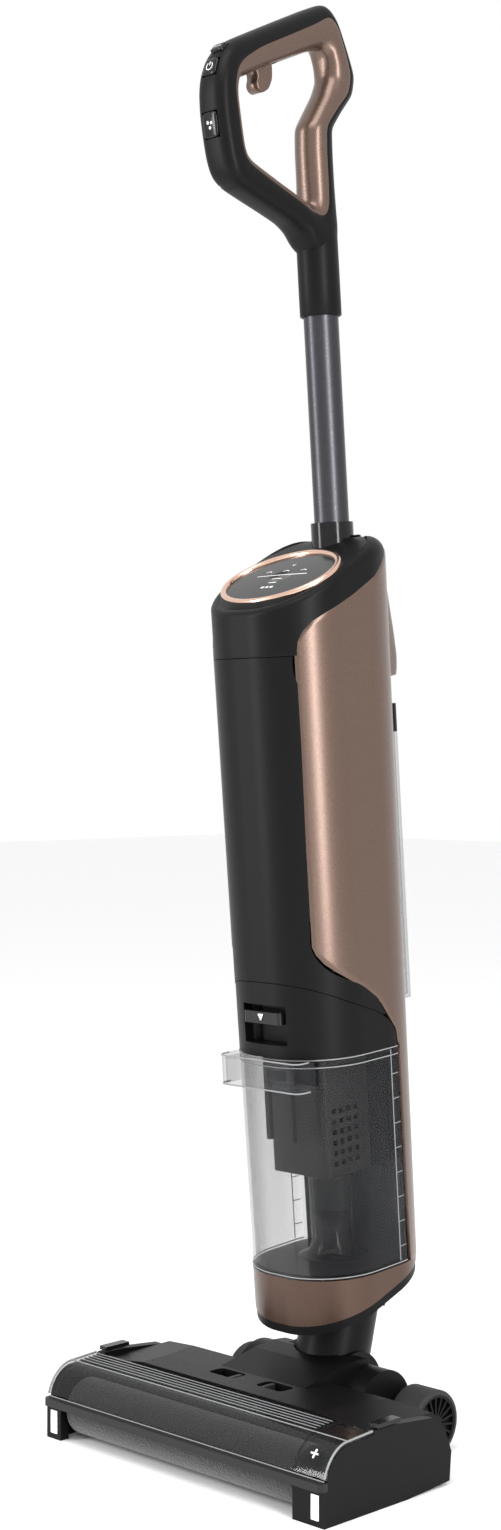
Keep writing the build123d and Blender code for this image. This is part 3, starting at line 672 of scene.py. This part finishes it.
def make_top():
    """Black top housing: the wall above the seam and the shells' edges, a rounded rim, and the
    top face drawn in towards the pole."""
    lean_in = float(s_at(99.0, 600.0)) + 8.2
    edge = float(s_at(-51.0, 575.0))
    half_s = np.concatenate([np.linspace(0, edge - 1, 24)[:-1], np.linspace(edge - 1, edge + 8, 46),
                             np.linspace(edge + 8, lean_in, 90)[1:]])
    _, y0 = outline(half_s, 600.0)
    start = np.where(half_s < edge - 0.2, 562.3,
                     np.maximum(np.interp(y0, EDGE_TOP[:, 0], EDGE_TOP[:, 1]) - 1.0, 562.3))
    rim = 7.0 + 7.0 * ease((y0 - 10) / 50)
    _, y_edge = outline(half_s, 610.0)
    crest = top_height(y_edge * 0.92)
    wall_top = crest - rim
    t = np.linspace(0, 1, 14)[:, None]
    z_wall = start + t * np.maximum(wall_top - start, 0.4)
    x_wall, y_wall = outline(np.broadcast_to(half_s, z_wall.shape), z_wall)
    bend = np.radians(np.linspace(7, 90, 12))[:, None]
    inset = rim * (1 - np.cos(bend))
    x_rim, y_rim = outline(np.broadcast_to(half_s, inset.shape), 610.0, inset)
    z_rim = wall_top + rim * np.sin(bend)
    share = np.linspace(0.04, 1, 26)[:, None]
    ring_x = 16.3 * np.sin(np.linspace(0, np.pi, len(half_s)))
    ring_y = POLE_Y - 16.3 * np.cos(np.linspace(0, np.pi, len(half_s)))
    x_in, y_in = x_rim[-1] + share * (ring_x - x_rim[-1]), y_rim[-1] + share * (ring_y - y_rim[-1])
    settle = ease(share * 3)
    z_in = top_height(y_in * (0.92 + 0.08 * settle))
    x = np.vstack([x_wall, x_rim, x_in])
    y = np.vstack([y_wall, y_rim, y_in])
    z = np.vstack([z_wall, z_rim, z_in])
    x = np.hstack([x, -x[:, -2:0:-1]])
    y = np.hstack([y, y[:, -2:0:-1]])
    z = np.hstack([z, z[:, -2:0:-1]])
    surface("top_housing_skin", (x, y, z), leaned, ABS, "main_body", (False, True),
            thick=2.0, bevel=0.3, stands_for=("top_housing",))


def on_display(x, up, deep):
    """Points on the sloping display, up along it and deep along its normal."""
    t = DISPLAY_SLOPE
    return leaned(x, DISPLAY_Y + up * np.cos(t) - deep * np.sin(t),
                  DISPLAY_Z + up * np.sin(t) + deep * np.cos(t))


def make_display():
    """Oval ring with a rounded section, a slightly domed window and its printed marks."""
    angle = np.linspace(0, 2 * np.pi, 180, endpoint=False)[:, None]
    turn = np.linspace(0, 2 * np.pi, 24, endpoint=False)[None, :]
    c, s = rounded_power(turn, 2.6)
    x = (51.2 + 2.5 * c) * np.cos(angle)
    up = (38.6 + 2.5 * c) * np.sin(angle)
    surface("display_rim", (x, up, 0.8 + 2.6 * s + 0 * angle), on_display, ROSE, "main_body",
            (True, True), stands_for=("display_ring",))
    share = np.array([1.0, 0.98, 0.9, 0.7, 0.5, 0.25, 0.01])[:, None]
    around = angle.T
    dome = 1.2 + 0.8 * (1 - share ** 2)
    surface("display_window", (49.3 * share * np.cos(around), 36.7 * share * np.sin(around),
                               dome + 0 * around), on_display, WINDOW, "main_body", (False, True),
            thick=1.2, stands_for=("display_glass",))

    def on_window(a, b, d):
        height = 1.2 + 0.8 * (1 - (a / 49.3) ** 2 - (b / 36.7) ** 2)
        return on_display(a, b, d + height + 0.06)
    lines = [("display_divider", [(-26, 2), (0, 2), (26, 2)], 0.45)]
    lines += [(f"display_step_{k}", [(9 * k - 3, 8), (9 * k, 9.2), (9 * k + 3, 8)], 0.4)
              for k in (-2, 0, 2)]
    lines += [(f"display_dash_{k}", [(-5 + k, -4 - 6 * k), (0, -4 - 6 * k), (5 - k, -4 - 6 * k)],
               0.5) for k in (0, 1)]
    lines += [(f"display_level_{k}", [(4.6 * k - 1.5, -17), (4.6 * k, -17), (4.6 * k + 1.5, -17)],
               1.2) for k in (-1, 0, 1)]
    lines += [("display_drop", [(-1.5, 19), (0, 16.8), (1.5, 19)], 0.45)]
    for name, points, half_wide in lines:
        x, y = ribbon(points, half_wide)
        mark(name, x, y, on_window, "main_body")


make_handle()
shell_half(1)
shell_half(-1)
make_top()
make_display()


# ---- painted highlights on clear rims and ribs, and small marks ----

def rod(name, path, radius, place, body, finish):
    """A round bar along a path: a circle carried along it, square to its run."""
    path = np.asarray(path, float)
    run = np.gradient(path, axis=0)
    run /= np.linalg.norm(run, axis=1)[:, None]
    guide = np.where(np.abs(run[:, 2:3]) > 0.9, [[1.0, 0.0, 0.0]], [[0.0, 0.0, 1.0]])
    side = np.cross(run, guide)
    side /= np.linalg.norm(side, axis=1)[:, None]
    up = np.cross(side, run)
    a = np.linspace(0, 2 * np.pi, 10, endpoint=False)[None, :, None]
    ring = path[:, None] + radius * (np.cos(a) * side[:, None] + np.sin(a) * up[:, None])
    return surface(name, (ring[..., 0], ring[..., 1], ring[..., 2]), place, finish, body,
                   (False, True))


def cover_curve(x, growth):
    """The roller cover's side curve at x: a quarter oval, then a gently rising back strip."""
    t = np.linspace(np.arctan2(8.4, 24.0), np.pi / 2, 30)
    y = np.append(25 - (25.5 + growth) * np.cos(t), 49.5)
    z = np.append(23 + (31.5 + growth) * np.sin(t), 56.0 + growth)
    return np.stack([np.full_like(y, x), y, z], 1)


def make_cover_rims():
    """Pale grey rods on the end rims, crest, front edge and the five ribs' tops, painted highlights on
    the clear cover, and a lock sign on the end cap.
    """
    for k, x in enumerate((-145.3, 145.3)):
        rod(f"cover_rim_{k}", cover_curve(x, 0.1), 0.8, on_head, "roller_cover", EDGE)
    rod("cover_seam", cover_curve(115.5, 0.05), 0.35, on_head, "roller_cover", GLOSS)
    # The ribs themselves are in the cover's moulding; these rods only paint the highlights on their
    # tops.
    for i in range(5):
        y = 29.0 + 4.2 * i
        z = 54.5 + 1.5 * (4.0 + 4.2 * i) / 25.0 + 0.7
        line = [(x, y, z) for x in np.linspace(-139.5, 111.5, 12)]
        rod(f"cover_rib_{i}", line, 0.45, on_head, "roller_cover", EDGE)
    line = [(x, 24.6, 54.6) for x in np.linspace(-145, 145, 12)]
    rod("cover_crest", line, 0.5, on_head, "roller_cover", EDGE)
    line = [(x, 1.3, 31.6) for x in np.linspace(-145, 145, 12)]
    rod("cover_front_edge", line, 0.5, on_head, "roller_cover", EDGE)
    for k, turn in enumerate((0.0, np.pi / 2)):
        t = np.linspace(-3.4, 3.4, 5)
        angle = np.radians(48) + t * np.sin(turn) / 29.0
        line = np.stack([130 + t * np.cos(turn), 25 - 25.7 * np.cos(angle),
                         23 + 31.7 * np.sin(angle)], 1)
        rod(f"cap_lock_sign_{k}", line, 0.7, on_head, "roller_cover", PRINT)


def make_tank_rims():
    """Pale grey rods along the clear tank's top band, foot, lip handle, flange and rungs paint the
    highlights on these edges; also the flared foot of its inlet tube, and the arrow on the latch."""
    # Bands, lip and flange rods: painted highlights on the clear tank's edges and ridges.
    for k, z in enumerate((261.2, 255.5, 95.6)):
        end = float(s_at(23.6, z))
        s = np.concatenate([-np.linspace(0, end, 60)[:0:-1], np.linspace(0, end, 60)])
        x, y = outline(np.abs(s), z, 0.1)
        rod(f"tank_band_{k}", np.stack([np.sign(s) * x, y, np.full_like(x, z)], 1), 0.45, leaned,
            "dirty_tank", EDGE)
    turn = np.radians(np.linspace(0, 90, 8))
    x = np.concatenate([[42.0, 42.0], 35 + 7 * np.cos(turn), -35 - 7 * np.sin(turn), [-42, -42]])
    y = np.concatenate([[-60, -63], -65 - 7 * np.sin(turn), -65 - 7 * np.cos(turn), [-63, -60]])
    for k, z in enumerate((239.6, 261.6)):
        rod(f"lip_rim_{k}", np.stack([x, y, np.full_like(x, z)], 1), 0.6, leaned, "dirty_tank",
            EDGE)
    for side in (-1, 1):
        z = np.linspace(97, 260, 30)
        x, y = outline(s_at(15.0, z), z, 0.1)
        rod(f"flange_line_{side + 1}", np.stack([side * x, y, z], 1), 0.4, leaned, "dirty_tank",
            EDGE)
        for i in range(8):
            z = 108.0 + 19 * i
            s = s_at(np.linspace(15.2, 22.8, 4), z)
            x, y = outline(s, z, 0.1)
            rod(f"flange_rung_{side + 1}_{i}", np.stack([side * x, y, np.full_like(x, z)], 1),
                0.35, leaned, "dirty_tank", EDGE)
    lathe("inlet_flare", [(27, 97.8), (25.5, 98.6), (19, 101.5), (15, 107), (13.2, 116),
                          (12.7, 126)], COVER, "dirty_tank", centre_y=0.0)
    for i, half in enumerate((2.6, 1.7, 0.8)):
        z = 294.6 - 1.6 * i
        rod(f"latch_arrow_{i}", [(t * half, -65.05, z) for t in (-1, -0.3, 0.3, 1)], 0.85, leaned,
            "tank_latch", PRINT)


make_cover_rims()
make_tank_rims()


# ---- light, floor and camera ----

def area_light(name, place, target, width, height, power):
    """A soft box facing a point."""
    lamp = bpy.data.lights.new(name, "AREA")
    lamp.shape = "RECTANGLE"
    lamp.size = width
    lamp.size_y = height
    lamp.energy = power
    holder = bpy.data.objects.new(name, lamp)
    bpy.context.scene.collection.objects.link(holder)
    holder.location = place
    holder.rotation_euler = (Vector(target) - Vector(place)).to_track_quat("-Z", "Y").to_euler()


def studio():
    """Pale floor, even white surroundings, two tall strip boxes and a top box."""
    world = bpy.data.worlds.new("white_room")
    bpy.context.scene.world = world
    world.use_nodes = True
    back = next(n for n in world.node_tree.nodes if n.type == "BACKGROUND")
    back.inputs["Color"].default_value = (1, 1, 1, 1)
    back.inputs["Strength"].default_value = 1.0
    area_light("strip_right", (1.9, -0.55, 0.9), (0, 0, 0.55), 0.35, 1.9, 34)
    area_light("strip_left", (-1.1, -1.7, 0.9), (0, 0, 0.55), 0.35, 1.9, 26)
    area_light("top_box", (0.5, -0.9, 2.4), (0, 0, 0.6), 1.2, 1.2, 22)
    mesh = bpy.data.meshes.new("studio_floor")
    mesh.from_pydata([(-9, -9, 0), (9, -9, 0), (9, 9, 0), (-9, 9, 0)], [], [(0, 1, 2, 3)])
    floor = bpy.data.objects.new("studio_floor", mesh)
    bpy.context.scene.collection.objects.link(floor)
    material, tree, shader, place = blank("painted_floor_white")
    grain(tree, shader, place, 40.0, 0.01, 0.7, 0.8)
    set_shader(shader, Base_Color=hex_colour("#f7f7f7"))
    mesh.materials.append(material)
    bpy.context.scene.view_settings.view_transform = "Standard"


def camera():
    """The camera at eye height of the body's middle, turned 45 degrees to the front right."""
    data = bpy.data.cameras.new("camera")
    data.lens = 52.53
    holder = bpy.data.objects.new("camera", data)
    bpy.context.scene.collection.objects.link(holder)
    holder.location = (1.178, -1.1026 + FRONT / 1000, 0.5274)
    turn, pitch = np.radians(45.0), np.radians(-0.3477)
    aim = (-np.sin(turn) * np.cos(pitch), np.cos(turn) * np.cos(pitch), np.sin(pitch))
    holder.rotation_euler = Vector(aim).to_track_quat("-Z", "Y").to_euler()
    bpy.context.scene.camera = holder


studio()
camera()
